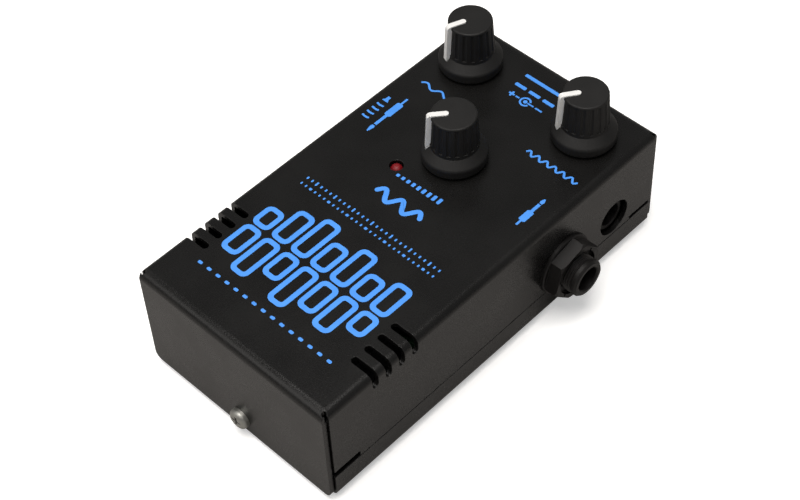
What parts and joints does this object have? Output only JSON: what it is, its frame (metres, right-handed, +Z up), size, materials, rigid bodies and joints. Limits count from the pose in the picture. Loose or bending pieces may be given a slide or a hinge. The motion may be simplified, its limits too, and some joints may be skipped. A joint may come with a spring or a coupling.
{
  "type": "guitar amplifier head",
  "caption": "Pedal-sized guitar amplifier head: folded metal box with fluted knobs on top, threaded plug sockets and a power inlet in its sides, and cooling slots.",
  "frame": {"origin": "on the surface the feet stand on, under the middle of the case", "axes": "+X towards the side with the input jack, +Y towards the end with the presence and depth knobs, +Z up"},
  "size_m": [0.0754, 0.1156, 0.048],
  "materials": {
    "case_paint": "satin, fine texture",
    "knob_plastic": "satin",
    "pointer_plastic": "satin",
    "jack_plastic": "satin",
    "nickel_screw": "nickel plated",
    "bushing_metal": "zinc plated",
    "shaft_metal": "satin",
    "contact_metal": "tin plated",
    "wiper_brass": "satin",
    "pot_plastic": "satin",
    "foot_rubber": "matt",
    "led_lens": "clear tinted",
    "board_laminate": "solder resist",
    "sink_aluminium": "extruded, black anodised",
    "pad_silicone": "matt",
    "sheet_insulator": "matt",
    "chip_moulding": "matt",
    "capacitor_sleeve": "heat-shrunk sleeve",
    "film_case": "satin",
    "resistor_body": "lacquered",
    "panel_print": "screen-printed ink"
  },
  "bodies": {
    "case": {"top_cover": "case_paint", "base_tray": "case_paint", "input_jack_housing": "jack_plastic", "output_jack_housing": "jack_plastic", "input_jack_nut": "jack_plastic", "output_jack_nut": "jack_plastic", "power_jack_housing": "jack_plastic", "cover_screws": "nickel_screw", "heat_sink_screws": "nickel_screw", "chip_screw": "nickel_screw", "volume_pot_bushing": "bushing_metal", "presence_pot_bushing": "bushing_metal", "depth_pot_bushing": "bushing_metal", "pot_nuts": "bushing_metal", "pot_washers": "bushing_metal", "power_jack_pin": "contact_metal", "input_jack_terminals": "contact_metal", "output_jack_terminals": "contact_metal", "input_jack_switch_contact": "contact_metal", "power_jack_terminals": "contact_metal", "pot_terminals": "contact_metal", "led_leads": "contact_metal", "volume_pot_base": "pot_plastic", "presence_pot_base": "pot_plastic", "depth_pot_base": "pot_plastic", "rubber_feet": "foot_rubber", "power_led": "led_lens", "circuit_board": "board_laminate", "heat_sink": "sink_aluminium", "insulating_pad": "pad_silicone", "insulating_sheet": "sheet_insulator", "power_amp_chip": "chip_moulding", "preamp_chip": "chip_moulding", "transistors": "chip_moulding", "diodes": "chip_moulding", "supply_capacitor": "capacitor_sleeve", "output_capacitor": "capacitor_sleeve", "coupling_capacitors": "capacitor_sleeve", "film_capacitors": "film_case", "resistors": "resistor_body"},
    "volume_control": {"volume_knob": "knob_plastic", "volume_pointer": "pointer_plastic", "volume_shaft": "shaft_metal", "volume_wiper": "wiper_brass"},
    "presence_control": {"presence_knob": "knob_plastic", "presence_pointer": "pointer_plastic", "presence_shaft": "shaft_metal", "presence_wiper": "wiper_brass"},
    "depth_control": {"depth_knob": "knob_plastic", "depth_pointer": "pointer_plastic", "depth_shaft": "shaft_metal", "depth_wiper": "wiper_brass"},
    "input_tip_contact": {"input_jack_tip_spring": "contact_metal"},
    "input_sleeve_contact": {"input_jack_sleeve_spring": "contact_metal"},
    "output_tip_contact": {"output_jack_tip_spring": "contact_metal"},
    "output_sleeve_contact": {"output_jack_sleeve_spring": "contact_metal"},
    "power_sleeve_contact": {"power_jack_spring": "contact_metal"}
  },
  "joints": [
    {"name": "volume_turn", "type": "hinge", "parent": "case", "child": "volume_control", "pos_m": [-0.0005, 0.0175, 0.033], "axis": [0, 0, -1], "range_deg": [0, 300]},
    {"name": "presence_turn", "type": "hinge", "parent": "case", "child": "presence_control", "pos_m": [0.0176, 0.0429, 0.033], "axis": [0, 0, -1], "range_deg": [0, 300]},
    {"name": "depth_turn", "type": "hinge", "parent": "case", "child": "depth_control", "pos_m": [-0.0189, 0.0432, 0.033], "axis": [0, 0, -1], "range_deg": [0, 300]},
    {"name": "input_tip_flex", "type": "hinge", "parent": "case", "child": "input_tip_contact", "pos_m": [0.0218, 0.0219, 0.01992], "axis": [0, 1, 0], "range_deg": [0, 6]},
    {"name": "input_sleeve_flex", "type": "hinge", "parent": "case", "child": "input_sleeve_contact", "pos_m": [0.014, 0.0219, 0.01047], "axis": [0, 1, 0], "range_deg": [0, 3]},
    {"name": "output_tip_flex", "type": "hinge", "parent": "case", "child": "output_tip_contact", "pos_m": [-0.0218, 0.0219, 0.01992], "axis": [0, -1, 0], "range_deg": [0, 6]},
    {"name": "output_sleeve_flex", "type": "hinge", "parent": "case", "child": "output_sleeve_contact", "pos_m": [-0.014, 0.0219, 0.01047], "axis": [0, -1, 0], "range_deg": [0, 3]},
    {"name": "power_sleeve_flex", "type": "hinge", "parent": "case", "child": "power_sleeve_contact", "pos_m": [0.0199, 0.0405, 0.01145], "axis": [0, 1, 0], "range_deg": [0, 4]}
  ]
}
